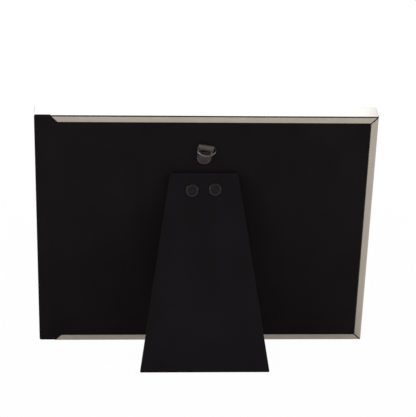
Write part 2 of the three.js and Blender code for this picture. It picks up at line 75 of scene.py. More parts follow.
# Rail walls, ribs and lips
WALL = 1.4
LIP = 1.2
LIP_WIDTH = 4.5
LEDGE_THICK = 1.0
LEDGE_REACH = 5.5
RIB = 1.2
RIB_GRIP = 2.0
HOOK_THICK = 0.8
HOOK_REACH = 1.6
KEY_THICK = 2.4
KEY_WIDTH = 9.0
BACK_ROUND = 1.2
FRONT_ROUND = 1.0
SIGHT_BEVEL = 0.7
LIP_EASE = 0.22
LOW_WALL_EASE = 0.3
MITRE_SETBACK = 0.18
MITRE_EASE = 0.1
# Width of the strip of lip beside each mitre that is painted dark as the gap's shade
MITRE_SHADE_STRIP = 0.4

# Picture stack and back panel
GLASS_THICK = 2.0
GLASS_EASE = 0.25
CARD_THICK = 0.3
CARD_EASE = 0.05
FILLER_THICK = 6.5
FILLER_EASE = 0.3
BOARD_THICK = 2.5
BOARD_EASE = 0.25
VELVET_SINK = 0.3
VELVET_EASE = 0.4
TAB_WIDTH = 9.8
TAB_INSET = 0.4
TAB_CORNER = 1.2
WRAP = 0.8

# Levels through the frame, from the lips' back plane at 0 to the front face
VELVET_TOP = -VELVET_SINK
BOARD_TOP = -LIP - SLIDE_GAP
VELVET_UNDER = BOARD_TOP + SEAT_GAP
BOARD_UNDER = BOARD_TOP - BOARD_THICK
LEDGE_TOP = BOARD_UNDER - SEAT_GAP
LEDGE_UNDER = LEDGE_TOP - LEDGE_THICK
FILLER_UNDER = LEDGE_TOP - FILLER_THICK
CARD_TOP = FILLER_UNDER - SEAT_GAP
CARD_UNDER = CARD_TOP - CARD_THICK
GLASS_TOP = CARD_UNDER - SEAT_GAP
GLASS_UNDER = GLASS_TOP - GLASS_THICK
FACE_INSIDE = GLASS_UNDER - SEAT_GAP
FRONT = FACE_INSIDE - WALL
RIB_TOP = FILLER_UNDER + RIB_GRIP
KEY_TOP = FACE_INSIDE + SEAT_GAP + KEY_THICK
HOOK_UNDER = KEY_TOP + SEAT_GAP
HOOK_TOP = HOOK_UNDER + HOOK_THICK

# Easel leg and its hinge, measured from the hinge's axis
AXIS_RISE = 1.6
AXIS_DROP = 44.9
LEG_OFF_CENTRE = 1.2
LEG_AXIS = Vector((LEG_OFF_CENTRE, VELVET_TOP + AXIS_RISE, HEIGHT - AXIS_DROP))
LEG_OPENING = math.radians(34)
LEG_TILT = LEG_OPENING - LEAN
LEG_INSIDE = 1.6
LEG_OUTSIDE = 5.2
LEG_TOP = (AXIS_RISE + LEG_INSIDE * math.cos(LEG_OPENING) - STOP_GAP) / math.sin(LEG_OPENING)
LEG_TOP_WIDTH = 43.2
LEG_FOOT_WIDTH = 81.3
LEG_SPARE = 4.0
LEG_VELVET = 0.8
LEG_CORNER = 0.7
LEG_EASE = 0.62
LEG_RIVETS = ((-6.85, -5.75), (7.75, -6.45))
LEAF = 0.5
LEAF_EASE = 0.1
LEAF_HALF = 17.5
LEAF_FOOT = -12.0
LEAF_SHOULDER = -1.6
LEAF_MIDDLE = 1.05
LEAF_RIVETS = ((-13.0, -7.0), (13.0, -7.0))
KNUCKLE_HALF = 8.0
KNUCKLE_GAP = 0.3
KNUCKLE_CURL = math.radians(300)
PIN_RADIUS = 0.7
PIN_CHAMFER = 0.2

# Hanger, measured from its rivet, and the ring from its bar
HANGER_TURN = math.radians(9.7)
STRAP = 0.46
STRAP_EASE = 0.08
STRAP_HALF = 4.9
STRAP_FOLD = 7.85
STRAP_FLAT = 3.3
STRAP_FLAT_ROUND = 0.4
STRAP_RISE = 3.0
STRAP_BLANK = -5.0
STRAP_FOOT = -4.3
STRAP_TRIMS = ((4.75, 1.6, 0.35), (3.4, -2.7, 1.0))
STRAP_HOLE = 1.62
LAYER_GAP = 0.02
FOLD_MIDDLE = 1.17
FOLD_RADIUS = 0.8
HEAD_TILT = math.radians(6)
HEAD_UNDER = 1.52
HEAD_DROP = 0.4
RING_LIFT = math.radians(25)
RING_TURN = math.radians(5)
RING_BEND = 2.2
RING_SHIFT = -0.25
# Depths below the ring's bar where the wire's painted shade near the strap gives way to its painted
# highlight on the bow, and the slant of that boundary
RING_SHADE_DEPTH = 2.6
RING_HIGHLIGHT_DEPTH = 4.4
RING_SHADE_SLANT = -0.04
WIRE = 0.4

# The ring's bends as radius and angle; its bar closes what the arms, shoulders and bow leave open
RING_CORNER = (0.55, math.radians(80))
RING_ARM = 1.15
RING_SHOULDER = (2.8, math.radians(60))
RING_BOW = (7.62, math.radians(80))
BOW_SHARE = math.sin(RING_BOW[1] / 2)
ARM_SLOPE = RING_CORNER[1]
RING_BAR_HALF = (
    RING_BOW[0] * BOW_SHARE
    - RING_SHOULDER[0] * (BOW_SHARE - math.sin(ARM_SLOPE))
    - RING_ARM * math.cos(ARM_SLOPE)
    - RING_CORNER[0] * math.sin(ARM_SLOPE)
)

# Rivets as radius and level, from the clinched end inside to the middle of the head
LEAF_RIVET = [
    (0, -5.1), (1.8, -5.1), (1.8, -4.7), (1.0, -4.7), (1.0, -0.7), (2.2, -0.68),
    (2.15, -0.45), (1.75, -0.2), (1.1, -0.02), (0.5, 0.05), (0, 0.05),
]
LEG_RIVET = [
    (0, 0.0), (2.2, 0.0), (2.2, 0.4), (1.4, 0.4), (1.4, 5.1), (3.98, 5.1), (4.12, 5.25),
    (4.12, 5.68), (4.1, 5.8), (4.02, 5.9), (3.42, 6.31), (3.32, 6.33), (3.2, 6.3), (3.05, 6.23),
    (2.8, 6.18), (2.3, 6.16), (1.6, 6.18), (1.1, 6.25), (0.6, 6.32), (0, 6.34),
]
HANGER_RIVET = [
    (0, -3.8), (2.3, -3.8), (2.3, -3.4), (1.5, -3.4), (1.5, 1.03), (2.05, 1.03), (2.05, HEAD_UNDER),
    (4.56, HEAD_UNDER), (4.72, 1.6), (4.72, 1.72), (4.66, 1.84), (4.54, 1.92), (4.36, 1.95), (4.1, 1.94),
    (3.95, 1.88), (3.65, 1.7), (3.5, 1.66), (3.3, 1.66), (2.8, 1.74), (2.0, 1.84), (1.0, 1.91), (0, 1.94),
]

# Section of a rail as distance in from the outer wall and level; the open end has a low wall and no lip
STACK_RIB = BORDER - PRINT_FIT
KEY_RIB = WALL + SEAT_GAP + KEY_WIDTH + SEAT_GAP
CHANNEL = [
    (0, FRONT), (FACE_WIDTH, FRONT), (FACE_WIDTH, FACE_INSIDE),
    (STACK_RIB, FACE_INSIDE), (STACK_RIB, RIB_TOP),
    (STACK_RIB - RIB, RIB_TOP), (STACK_RIB - RIB, FACE_INSIDE),
    (KEY_RIB + RIB, FACE_INSIDE), (KEY_RIB + RIB, KEY_TOP), (KEY_RIB, KEY_TOP), (KEY_RIB, FACE_INSIDE),
    (WALL, FACE_INSIDE), (WALL, HOOK_UNDER),
    (WALL + HOOK_REACH, HOOK_UNDER), (WALL + HOOK_REACH, HOOK_TOP), (WALL, HOOK_TOP),
    (WALL, LEDGE_UNDER), (LEDGE_REACH, LEDGE_UNDER), (LEDGE_REACH, LEDGE_TOP),
]
LIP_SECTION = [(WALL, LEDGE_TOP), (WALL, -LIP), (LIP_WIDTH, -LIP), (LIP_WIDTH, 0), (0, 0)]
LOW_WALL_SECTION = [(0, LEDGE_TOP)]

# Zinc crystals on the corner keys
CRYSTALS_PER_METRE = 420.0

# Camera at the photograph's viewing angle: metres and degrees
CAMERA_LENS = 137.858
CAMERA_PLACE = (0.0537, 1.00562, 0.28665)
CAMERA_TURN = (79.2645, -0.694, 176.9628)

# Floor and surround: metres, and levels where 1 is white
FLOOR_HALF = 30
FLOOR_PAPER = (0.78, 0.735, 0.67, 1)
FLOOR_SHOWN = (0.98, 1.0)
FLOOR_FADE = (0.2, 0.8)
FLOOR_MIRRORED = 0.15
WHITE = (1, 1, 1, 1)
SURROUND_FILL = 0.55
SURROUND_MIRRORED = (1.0, 0.06)
SURROUND_FADE = (-0.05, 0.2)

# Lamps: name, place, aim, width and height, radiance and colour
LAMPS = (
    ("back_softbox", (0.15, -0.85, 1.0), (0.15, 0, 0.1), (0.9, 0.8), 1.0, (0.84, 0.925, 1.0)),
    ("left_softbox", (1.0, 0.65, 0.8), (0, 0.1, 0.05), (0.6, 0.8), 2.0, (1, 1, 1)),
    ("right_softbox", (-1.0, 0.65, 0.8), (0, 0.1, 0.05), (0.6, 0.8), 2.2, (1, 1, 1)),
    ("level_fill", (0, 1.8, 0.15), (0, 0, 0.1), (2.0, 0.6), 3.6, (1, 1, 1)),
)
UNMIRRORED_LAMP = "level_fill"

# Where each moving group sits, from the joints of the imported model
hinge = Vector(joints["leg_fold"]["pos_m"])
swivel = Vector(joints["hanger_swivel"]["pos_m"])
ring_bar = Vector(joints["ring_swing"]["pos_m"])
in_mm = Matrix.Scale(MM, 4)
leaning = Matrix.Rotation(-LEAN, 4, "X")
turned_strap = leaning @ Matrix.Rotation(-HANGER_TURN, 4, "Y")
lifted_ring = turned_strap @ Matrix.Rotation(RING_LIFT, 4, "X")
HINGE_PLACE = Matrix.Translation(hinge) @ leaning @ in_mm
FRAME_PLACE = HINGE_PLACE @ Matrix.Translation(-LEG_AXIS)
LEG_PLACE = Matrix.Translation(hinge) @ leaning @ Matrix.Rotation(LEG_OPENING, 4, "X") @ in_mm
HANGER_PLACE = Matrix.Translation(swivel) @ turned_strap @ in_mm
RING_PLACE = Matrix.Translation(ring_bar) @ lifted_ring @ in_mm @ Matrix.Translation((RING_SHIFT, 0, 0))


def verts_of(made):
    return [item for item in made["geom"] if isinstance(item, bmesh.types.BMVert)]


def edges_at(bm, **levels):
    """Edges that lie at the given levels of x, y or z."""
    def lies(vert):
        return all(abs(getattr(vert.co, axis) - level) < NEAR for axis, level in levels.items())
    return [edge for edge in bm.edges if all(lies(vert) for vert in edge.verts)]


def edges_among(bm, verts):
    return [edge for edge in bm.edges if all(vert in verts for vert in edge.verts)]


def round_edges(bm, edges, radius, steps=3):
    bmesh.ops.bevel(
        bm, geom=edges, offset=radius, offset_type="OFFSET", affect="EDGES",
        segments=steps, profile=0.5, material=-1, clamp_overlap=True,
    )


def push(bm, face, step):
    """Extrudes one face by a step and closes the sides."""
    made = bmesh.ops.extrude_face_region(bm, geom=[face])
    bmesh.ops.translate(bm, vec=step, verts=verts_of(made))
    if face.is_valid and all(len(edge.link_faces) > 2 for edge in face.edges):
        bmesh.ops.delete(bm, geom=[face], context="FACES_ONLY")
    bmesh.ops.recalc_face_normals(bm, faces=bm.faces)


def slab(outline, low, high):
    """A plate with its outline in X and Z between two levels of Y."""
    bm = bmesh.new()
    face = bm.faces.new([bm.verts.new((x, low, z)) for x, z in outline])
    push(bm, face, (0, high - low, 0))
    return bm


def box_outline(x0, z0, x1, z1):
    return [(x0, z0), (x1, z0), (x1, z1), (x0, z1)]


def split(bm, point, normal, faces=None):
    """Scores a line across faces, or across the whole mesh, where a plane meets them."""
    faces = faces or bm.faces[:]
    edges = [edge for face in faces for edge in face.edges]
    verts = [vert for face in faces for vert in face.verts]
    scored = list(dict.fromkeys([*faces, *edges, *verts]))
    bmesh.ops.bisect_plane(bm, geom=scored, dist=CUT, plane_co=point, plane_no=normal)


def cut_off(bm, point, normal, close=True):
    """Cuts away what lies beyond a plane."""
    cut = bmesh.ops.bisect_plane(
        bm, geom=[*bm.verts, *bm.edges, *bm.faces], dist=CUT,
        plane_co=point, plane_no=normal, clear_outer=True,
    )
    if close:
        rim = [item for item in cut["geom_cut"] if isinstance(item, bmesh.types.BMEdge)]
        bmesh.ops.holes_fill(bm, edges=rim, sides=0)


def turned(profile, steps=56):
    """A round piece about Y from a profile of radius and level."""
    bm = bmesh.new()
    verts = [bm.verts.new((radius, level, 0)) for radius, level in profile]
    edges = [bm.edges.new(pair) for pair in zip(verts, verts[1:])]
    bmesh.ops.spin(
        bm, geom=verts + edges, cent=(0, 0, 0), axis=(0, 1, 0),
        angle=2 * math.pi, steps=steps, use_merge=True, use_duplicate=False,
    )
    return bm


def swept_wire(thickness, moves, sides=16, bend_step=math.radians(6)):
    """Wire in the XZ plane along straight runs with a bend after each, first along X and bending down."""
    bm = bmesh.new()
    across = Matrix.Rotation(math.pi / 2, 4, "Y")
    tip = bmesh.ops.create_circle(bm, radius=thickness, segments=sides, matrix=across)["verts"]
    spot, heading = Vector(), 0.0
    for run, bend in moves:
        if run:
            ahead = Vector((math.cos(heading), 0, -math.sin(heading)))
            tip = verts_of(bmesh.ops.extrude_edge_only(bm, edges=edges_among(bm, tip)))
            bmesh.ops.translate(bm, vec=ahead * run, verts=tip)
            spot += ahead * run
        if bend:
            radius, angle = bend
            centre = spot + radius * Vector((-math.sin(heading), 0, -math.cos(heading)))
            last = bmesh.ops.spin(
                bm, geom=[*tip, *edges_among(bm, tip)], cent=centre, axis=(0, 1, 0),
                angle=angle, steps=round(angle / bend_step),
            )["geom_last"]
            tip = [item for item in last if isinstance(item, bmesh.types.BMVert)]
            heading += angle
            spot = centre + radius * Vector((math.sin(heading), 0, math.cos(heading)))
    return bm


def finished(bm, name, place, body, finish, stands_for, crease=40):
    """Turns a mesh in millimetres into a piece of the object that rides on a body."""
    bmesh.ops.remove_doubles(bm, verts=bm.verts, dist=MERGE)
    bmesh.ops.recalc_face_normals(bm, faces=bm.faces)
    bmesh.ops.transform(bm, matrix=place, verts=bm.verts)
    mesh = bpy.data.meshes.new(name)
    bm.to_mesh(mesh)
    bm.free()
    mesh.shade_smooth()
    mesh.set_sharp_from_angle(angle=math.radians(crease))
    for coat in finish if isinstance(finish, tuple) else (finish,):
        mesh.materials.append(coat)
    piece = bpy.data.objects.new(name, mesh)
    scene.collection.objects.link(piece)
    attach(piece, body)
    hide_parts(stands_for)
    return piece


def even_shading(piece):
    made = piece.modifiers.new("even_shading", "WEIGHTED_NORMAL")
    made.keep_sharp = True


def thickened(piece, thickness, ease):
    """Gives a sheet its thickness and eases its cut edges."""
    made = piece.modifiers.new("thickness", "SOLIDIFY")
    made.thickness = thickness * MM
    made.offset = 0.0
    made.use_even_offset = True
    made = piece.modifiers.new("eased_edges", "BEVEL")
    made.width = ease * MM
    made.segments = 2
    made.limit_method = "ANGLE"
    made.angle_limit = EASED_ANGLE
    even_shading(piece)


def feed(tree, socket, value):
    """Links a socket to another node's output, or sets it to a plain value."""
    if isinstance(value, bpy.types.NodeSocket):
        tree.links.new(value, socket)
    else:
        socket.default_value = value


def add_node(tree, kind, values=None, **settings):
    made = tree.nodes.new("ShaderNode" + kind)
    for key, value in settings.items():
        setattr(made, key, value)
    for key, value in (values or {}).items():
        feed(tree, made.inputs[key], value)
    return made


def new_finish(name):
    material = bpy.data.materials.new(name)
    material.use_nodes = True
    tree = material.node_tree
    return material, tree, tree.nodes["Principled BSDF"]


def connect(tree, shader, **sockets):
    for name, value in sockets.items():
        feed(tree, shader.inputs[name.replace("_", " ")], value)


def object_place(tree):
    return add_node(tree, "TexCoord").outputs["Object"]


def grain(tree, size, detail=2.0, rough=0.5, turn=0.0):
    """Noise with the given size in millimetres along X, Y and Z."""
    mapped = add_node(tree, "Mapping", {
        "Vector": object_place(tree),
        "Rotation": (turn, 0, 0),
        "Scale": [length * MM for length in size],
    }, vector_type="TEXTURE")
    noise = add_node(tree, "TexNoise", {
        "Vector": mapped.outputs["Vector"], "Scale": 1.0, "Detail": detail, "Roughness": rough,
    })
    return noise.outputs["Fac"]


def spread(tree, value, low, high, start=0.3, stop=0.7):
    """Stretches the part of a value between start and stop from low to high."""
    made = add_node(tree, "MapRange", {
        "Value": value, "From Min": start, "From Max": stop, "To Min": low, "To Max": high,
    })
    return made.outputs["Result"]


def shades(tree, value, *stops):
    """Colours along a value, as pairs of place and colour."""
    made = add_node(tree, "ValToRGB", {"Fac": value})
    elements = made.color_ramp.elements
    for element, (place, colour) in zip(elements, stops):
        element.position = place
        element.color = (*colour, 1)
    return made.outputs["Color"]


def blended(tree, share, first, second, kind="MIX"):
    """Two colours mixed by a share; the colour sockets of a Mix node are 6 and 7, its colour output 2."""
    made = add_node(tree, "Mix", data_type="RGBA", blend_type=kind)
    for socket, value in ((0, share), (6, first), (7, second)):
        feed(tree, made.inputs[socket], value)
    return made.outputs[2]


def between(tree, share, first, second):
    """Two numbers mixed by a share; the number sockets of a Mix node are 2 and 3, its number output 0."""
    made = add_node(tree, "Mix", {0: share, 2: first, 3: second}, data_type="FLOAT")
    return made.outputs[0]


def combined(tree, operation, *values):
    made = add_node(tree, "Math", dict(enumerate(values)), operation=operation)
    return made.outputs["Value"]


def relief(tree, height, depth, strength=0.5):
    made = add_node(tree, "Bump", {"Height": height, "Distance": depth * MM, "Strength": strength})
    return made.outputs["Normal"]


def champagne_nickel(name, brush, turn=0.0):
    """Satin plate with fine brush lines along the rail and faint handling marks."""
    material, tree, shader = new_finish(name)
    lines = grain(tree, brush, detail=3)
    marks = grain(tree, (16, 16, 16), detail=3, rough=0.6, turn=turn)
    plate = shades(tree, lines, (0.25, (0.58, 0.534, 0.484)), (0.75, (0.66, 0.614, 0.566)))
    dulled = shades(tree, marks, (0.35, (0.93, 0.93, 0.93)), (0.65, (1, 1, 1)))
    connect(
        tree, shader, Metallic=1.0,
        Base_Color=blended(tree, 1.0, plate, dulled, "MULTIPLY"),
        Roughness=combined(tree, "ADD", spread(tree, lines, 0.11, 0.17), spread(tree, marks, 0.0, 0.05)),
        Normal=relief(tree, lines, 0.01, 0.25),
    )
    return material


def velvet():
    """Short pile: fine tufts, and soft clouds where the nap lies another way."""
    material, tree, shader = new_finish("black_velvet_pile")
    pile = grain(tree, (0.28, 0.28, 0.28), detail=3, rough=0.65)
    nap = grain(tree, (26, 26, 40), detail=3, rough=0.55)
    tufts = shades(tree, pile, (0.3, (0.72, 0.72, 0.72)), (0.7, (1, 1, 1)))
    cloud = shades(tree, nap, (0.3, (0.0076, 0.0064, 0.0075)), (0.7, (0.0101, 0.0085, 0.0101)))
    connect(
        tree, shader, Roughness=1.0,
        Base_Color=blended(tree, 1.0, cloud, tufts, "MULTIPLY"),
        Normal=relief(tree, pile, 0.22, 0.8),
        Specular_IOR_Level=0.08, Sheen_Weight=0.04, Sheen_Roughness=0.45,
    )
    return material


def pressed_board():
    """Grey board with short fibres and flecks."""
    material, tree, shader = new_finish("pressed_grey_board")
    fibres = grain(tree, (2.4, 0.3, 0.5), detail=4, rough=0.7, turn=LEAN)
    flecks = grain(tree, (0.6, 0.6, 0.6), detail=1)
    pulp = shades(tree, fibres, (0.3, (0.2, 0.182, 0.16)), (0.7, (0.32, 0.295, 0.262)))
    specks = shades(tree, flecks, (0.66, (1, 1, 1)), (0.74, (0.55, 0.53, 0.5)))
    connect(
        tree, shader, Base_Color=blended(tree, 1.0, pulp, specks, "MULTIPLY"),
        Roughness=spread(tree, fibres, 0.82, 0.95),
        Normal=relief(tree, fibres, 0.08, 0.6), Specular_IOR_Level=0.25,
    )
    return material


def lining_paper():
    """Matt black paper with a fine tooth."""
    material, tree, shader = new_finish("black_lining_paper")
    tooth = grain(tree, (0.5, 0.5, 0.9), detail=4, rough=0.7)
    mottle = grain(tree, (9, 9, 9), detail=2)
    sheet = shades(tree, mottle, (0.3, (0.012, 0.0112, 0.0118)), (0.7, (0.021, 0.0198, 0.0205)))
    connect(
        tree, shader, Base_Color=sheet, Roughness=spread(tree, tooth, 0.7, 0.9),
        Normal=relief(tree, tooth, 0.05, 0.6), Specular_IOR_Level=0.3,
    )
    return material


def white_card():
    """Plain uncoated card with a fine tooth."""
    material, tree, shader = new_finish("uncoated_white_card")
    tooth = grain(tree, (0.45, 0.45, 0.45), detail=4, rough=0.7)
    mottle = grain(tree, (22, 22, 22), detail=2)
    sheet = shades(tree, mottle, (0.3, (0.79, 0.765, 0.71)), (0.7, (0.83, 0.81, 0.76)))
    connect(
        tree, shader, Base_Color=sheet, Roughness=spread(tree, tooth, 0.78, 0.92),
        Normal=relief(tree, tooth, 0.03, 0.4), Specular_IOR_Level=0.3,
    )
    return material


def float_glass():
    """Clear glass with faint wiping marks."""
    material, tree, shader = new_finish("clear_float_glass")
    wipe = grain(tree, (30, 30, 55), detail=3, turn=LEAN)
    connect(
        tree, shader, Base_Color=(0.98, 0.995, 0.988, 1), Transmission_Weight=1.0, IOR=1.5,
        Roughness=spread(tree, wipe, 0.0, 0.025), Normal=relief(tree, wipe, 0.02, 0.05),
    )
    return material


def black_paint():
    """Satin paint on sheet metal, with a slight orange peel and paler rubbed spots."""
    material, tree, shader = new_finish("black_satin_paint")
    peel = grain(tree, (0.35, 0.35, 0.35), detail=1)
    rub = grain(tree, (1.6, 1.6, 1.6), detail=4, rough=0.7)
    coat = shades(tree, rub, (0.4, (0.0105, 0.0094, 0.0098)), (0.72, (0.0155, 0.014, 0.0146)))
    connect(
        tree, shader, Base_Color=coat, Roughness=spread(tree, rub, 0.2, 0.32),
        Normal=relief(tree, peel, 0.02, 0.25), Specular_IOR_Level=0.36,
    )
    return material


def mitre_shade_finish():
    """Saw-cut metal in the mitres, painted dark as the shade in the mitre gaps."""
    material, tree, shader = new_finish("painted_mitre_shade")
    saw = grain(tree, (0.25, 0.25, 0.25), detail=2)
    gap_shade = shades(tree, saw, (0.3, (0.014, 0.011, 0.009)), (0.7, (0.036, 0.029, 0.024)))
    connect(
        tree, shader, Base_Color=gap_shade, Roughness=spread(tree, saw, 0.6, 0.8),
        Normal=relief(tree, saw, 0.02, 0.4), Specular_IOR_Level=0.2,
    )
    return material


def dull_plate(name, deep, pale):
    """Tarnished plate on the hanger's strap and rivet, with hairline scratches."""
    material, tree, shader = new_finish(name)
    scratches = grain(tree, (3.0, 0.12, 0.12), detail=3, rough=0.6)
    tarnish = grain(tree, (2.2, 2.2, 2.2), detail=4, rough=0.65)
    plate = shades(tree, tarnish, (0.3, deep), (0.7, pale))
    worn = shades(tree, scratches, (0.4, (0.88, 0.88, 0.88)), (0.68, (1.25, 1.24, 1.22)))
    connect(
        tree, shader, Metallic=1.0, Base_Color=blended(tree, 1.0, plate, worn, "MULTIPLY"),
        Roughness=spread(tree, tarnish, 0.3, 0.44), Normal=relief(tree, scratches, 0.008, 0.3),
    )
    return material


def bright_steel():
    """Nickel-plated fasteners with drawing marks."""
    material, tree, shader = new_finish("bright_plated_steel")
    drawn = grain(tree, (1.8, 0.1, 0.1), detail=2)
    dull = grain(tree, (1.1, 1.1, 1.1), detail=3)
    plate = shades(tree, dull, (0.3, (0.5, 0.475, 0.45)), (0.7, (0.66, 0.635, 0.61)))
    connect(
        tree, shader, Metallic=1.0, Base_Color=plate, Roughness=spread(tree, drawn, 0.18, 0.34),
        Normal=relief(tree, drawn, 0.006, 0.3),
    )
    return material


def ring_wire():
    """Drawn wire, painted dark near the strap as the strap's shade and painted pale on the bow as a
    highlight.
    """
    material, tree, shader = new_finish("hanger_ring_wire")
    place = add_node(tree, "SeparateXYZ", {"Vector": object_place(tree)})
    # Painted light: the share below is 0 near the strap, where the wire is painted dark as shade, and 1 on
    # the bow, where it is painted pale as a highlight
    height = combined(tree, "MULTIPLY_ADD", place.outputs["X"], RING_SHADE_SLANT, place.outputs["Z"])
    rubbed = spread(tree, height, 1.0, 0.0, ring_bar.z - RING_HIGHLIGHT_DEPTH * MM, ring_bar.z - RING_SHADE_DEPTH * MM)
    drawn = grain(tree, (0.5, 0.5, 0.5), detail=3, rough=0.6)
    # The dull colour is painted shade near the strap; the bright colour is a painted highlight on the bow
    dull = shades(tree, drawn, (0.3, (0.04, 0.037, 0.034)), (0.7, (0.066, 0.061, 0.057)))
    bright = shades(tree, drawn, (0.3, (0.34, 0.322, 0.305)), (0.7, (0.46, 0.442, 0.425)))
    connect(
        tree, shader, Metallic=1.0, Base_Color=blended(tree, rubbed, dull, bright),
        Roughness=spread(tree, rubbed, 0.42, 0.24, 0.0, 1.0), Normal=relief(tree, drawn, 0.006, 0.3),
    )
    return material


def zinc_plate():
    """Zinc on the corner keys, with a crystalline mottle."""
    material, tree, shader = new_finish("zinc_plate")
    crystals = add_node(tree, "TexVoronoi", {"Vector": object_place(tree), "Scale": CRYSTALS_PER_METRE})
    cloud = grain(tree, (5, 5, 5), detail=3)
    plate = shades(tree, crystals.outputs["Color"], (0.2, (0.4, 0.41, 0.42)), (0.8, (0.56, 0.57, 0.58)))
    connect(
        tree, shader, Metallic=1.0, Base_Color=plate, Roughness=spread(tree, cloud, 0.36, 0.55),
        Normal=relief(tree, crystals.outputs["Distance"], 0.01, 0.2),
    )
    return material


NICKEL_ALONG = champagne_nickel("champagne_nickel_along", (30, 0.1, 0.1))
NICKEL_UP = champagne_nickel("champagne_nickel_up", (0.1, 0.1, 30), -LEAN)
VELVET = velvet()
BOARD = pressed_board()
LINING = lining_paper()
CARD = white_card()
GLASS = float_glass()
PAINT = black_paint()
STRAP_PLATE = dull_plate("dark_nickel_plate", (0.164, 0.138, 0.125), (0.229, 0.195, 0.177))
RIVET_PLATE = dull_plate("gunmetal_plate", (0.063, 0.055, 0.061), (0.093, 0.082, 0.091))
# Dark finish for the mitre ends, painted shade of the gaps between the rails
MITRE_SHADE = mitre_shade_finish()
STEEL = bright_steel()
RING_WIRE = ring_wire()
ZINC = zinc_plate()


def mitre_edges(bm):
    """Edges of the mitre cuts on the rail's outer faces, lip and front."""
    found = []
    for edge in bm.edges:
        cuts = [face for face in edge.link_faces if abs(abs(face.normal.x) - math.sqrt(0.5)) < FLAT]
        skins = [face for face in edge.link_faces if abs(face.normal.x) < FLAT]
        if not cuts or not skins:
            continue
        middle = (edge.verts[0].co + edge.verts[1].co) / 2
        normal = skins[0].normal
        on_lip = middle.y > -LIP - NEAR and normal.y > -0.5 and normal.z < 0.5
        on_wall = middle.z < FRONT_ROUND + NEAR and normal.z < FLAT
        on_front = middle.y < FRONT + FRONT_ROUND + NEAR and normal.y < 0
        if on_lip or on_wall or on_front:
            found.append(edge)
    return found


def paint_mitre_shade(bm, point, way):
    """Saw-cut end and a narrow strip of lip beside it, painted dark without plate as the mitre gap's shade.
    """
    split(bm, point, way, [face for face in bm.faces if face.calc_center_median().y > -LIP - NEAR])
    for face in bm.faces:
        middle = face.calc_center_median()
        on_lip = middle.y > -LIP - NEAR and (middle - point).dot(way) > MERGE
        if on_lip or face.normal.dot(way) > 1 - FLAT:
            face.material_index = 1


def shorten_lip(bm, side):
    """Cuts the lip back at 45 degrees at one end, where the panel's tab reaches the outer face."""
    start = Vector((side * (END - TAB_WIDTH - SIDE_GAP * math.sqrt(2)), 0, 0))
    slope = Vector((side, 0, 1)).normalized()
    split(bm, (0, BOARD_TOP, 0), (0, 1, 0))
    split(bm, start, slope, [face for face in bm.faces if face.calc_center_median().y > BOARD_TOP])
    spare = []
    for face in bm.faces:
        middle = face.calc_center_median()
        if middle.y > BOARD_TOP + MERGE and (middle - start).dot(slope) > MERGE:
            spare.append(face)
    bmesh.ops.delete(bm, geom=spare, context="FACES")
    rim = [edge for edge in bm.edges if edge.is_boundary]
    ends = [
        vert for vert in dict.fromkeys(vert for edge in rim for vert in edge.verts)
        if abs(vert.co.y - BOARD_TOP) < MERGE and abs((vert.co - start).dot(slope)) < MERGE
    ]
    bmesh.ops.edgenet_fill(bm, edges=rim + [bm.edges.new(ends)])


def rail(length, has_lip, tab_side=0):
    """A rail lying along the bottom edge with both ends mitred."""
    bm = bmesh.new()
    section = CHANNEL + (LIP_SECTION if has_lip else LOW_WALL_SECTION)
    face = bm.faces.new([bm.verts.new((-length / 2, level, across)) for across, level in section])
    push(bm, face, (length, 0, 0))
    if has_lip:
        round_edges(bm, edges_at(bm, y=0, z=0), BACK_ROUND, steps=10)
        round_edges(bm, edges_at(bm, y=0, z=LIP_WIDTH), LIP_EASE)
    else:
        round_edges(bm, edges_at(bm, y=LEDGE_TOP, z=0), LOW_WALL_EASE)
    round_edges(bm, edges_at(bm, y=FRONT, z=0), FRONT_ROUND, steps=8)
    round_edges(bm, edges_at(bm, y=FRONT, z=FACE_WIDTH), SIGHT_BEVEL, steps=5)
    half = length / 2 - MITRE_SETBACK
    for side in (-1, 1):
        cut_off(bm, (side * half, 0, 0), (side, 0, 1))
    if tab_side:
        shorten_lip(bm, tab_side)
    bmesh.ops.recalc_face_normals(bm, faces=bm.faces)
    round_edges(bm, mitre_edges(bm), MITRE_EASE, steps=2)
    # The mitre ends and a strip of lip beside each are painted dark as the shade in the mitre gaps
    for side in (-1, 1):
        paint_mitre_shade(bm, Vector((side * (half - MITRE_SHADE_STRIP), 0, 0)), Vector((side, 0, 1)).normalized())
    return bm


def make_rails():
    upside_down = Matrix.Translation((0, 0, HEIGHT)) @ Matrix.Rotation(math.pi, 4, "Y")
    upright = [
        Matrix.Translation((side * END, 0, HEIGHT / 2)) @ Matrix.Rotation(-side * math.pi / 2, 4, "Y")
        for side in (-1, 1)
    ]
    for name, bm, place, finish in (
        ("bottom_rail", rail(LENGTH, True, 1), Matrix.Identity(4), NICKEL_ALONG),
        ("top_rail", rail(LENGTH, True, -1), upside_down, NICKEL_ALONG),
        ("closed_end_rail", rail(HEIGHT, True), upright[0], NICKEL_UP),
        ("open_end_rail", rail(HEIGHT, False), upright[1], NICKEL_UP),
    ):
        # Each rail's second finish is the dark mitre finish, painted shade of the mitre gaps
        even_shading(finished(
            bm, name + "_plated", FRAME_PLACE @ place, "frame", (finish, MITRE_SHADE), name,
        ))


def make_stack():
    """Glass, print card and filler board behind the front face."""
    half = PRINT_LENGTH / 2
    outline = box_outline(-half, BORDER, half, HEIGHT - BORDER)
    for name, low, high, slot, finish, ease in (
        ("glass", GLASS_UNDER, GLASS_TOP, "clear_glass", GLASS, GLASS_EASE),
        ("insert_card", CARD_UNDER, CARD_TOP, "white_card", CARD, CARD_EASE),
        ("filler_board", FILLER_UNDER, LEDGE_TOP, "grey_board", BOARD, FILLER_EASE),
    ):
        bm = slab(outline, low, high)
        round_edges(bm, bm.edges[:], ease, steps=2)
        even_shading(finished(bm, name + "_sheet", FRAME_PLACE, "frame", finish, name))


